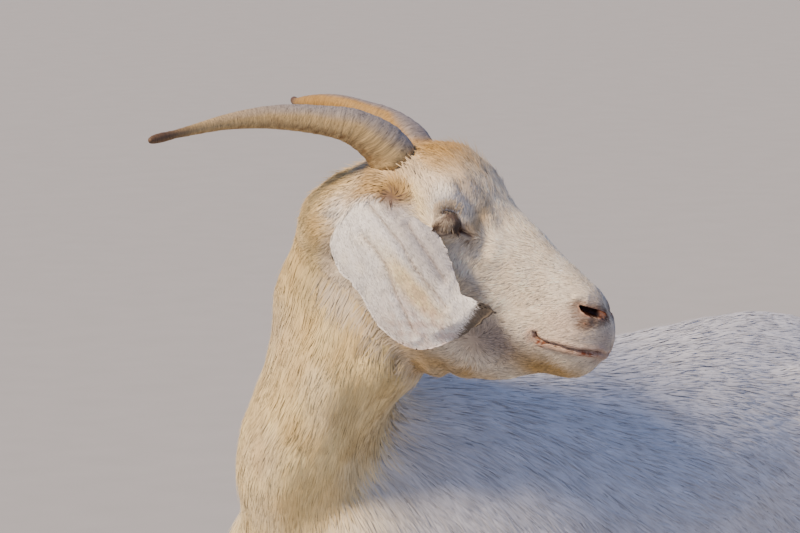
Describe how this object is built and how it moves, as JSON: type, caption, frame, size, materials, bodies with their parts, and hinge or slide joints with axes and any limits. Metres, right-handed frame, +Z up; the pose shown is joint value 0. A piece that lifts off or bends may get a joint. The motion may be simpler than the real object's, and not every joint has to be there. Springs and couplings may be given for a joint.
{
  "type": "goat",
  "caption": "Life-size still model of a white lop-eared horned doe goat, standing and looking back over its left shoulder.",
  "frame": {"origin": "centre of the whole outline seen from above, on the floor plane that the soles stand on", "axes": "+X is the way the body faces, +Y towards the animal's left, +Z up. The head is turned 128 degrees to the left of +X."},
  "size_m": [0.9218, 0.4466, 0.9432],
  "materials": {
    "coat": "short dense goat hair, white on the body and warm cream on neck and head",
    "ear_coat": "very short flat grey-white hair over a thin ear",
    "bare_skin": "thinly haired pink skin of the udder",
    "horn": "dry grey-beige horn with growth rings and a dark tip",
    "hoof": "worn dark grey-brown hoof horn",
    "eye": "wet amber eye with a level dark pupil"
  },
  "bodies": {
    "root": {"trunk": "coat", "neck": "coat", "head": "coat", "tail": "coat", "udder": "bare_skin", "ear_left": "ear_coat", "ear_right": "ear_coat", "eye_left": "eye", "eye_right": "eye", "horn_left": "horn", "horn_right": "horn", "leg_front_left_upper": "coat", "leg_front_left_lower": "coat", "leg_front_left_claw_outer": "hoof", "leg_front_left_claw_inner": "hoof", "leg_front_right_upper": "coat", "leg_front_right_lower": "coat", "leg_front_right_claw_outer": "hoof", "leg_front_right_claw_inner": "hoof", "leg_hind_left_upper": "coat", "leg_hind_left_lower": "coat", "leg_hind_left_claw_outer": "hoof", "leg_hind_left_claw_inner": "hoof", "leg_hind_right_upper": "coat", "leg_hind_right_lower": "coat", "leg_hind_right_claw_outer": "hoof", "leg_hind_right_claw_inner": "hoof"}
  },
  "joints": []
}
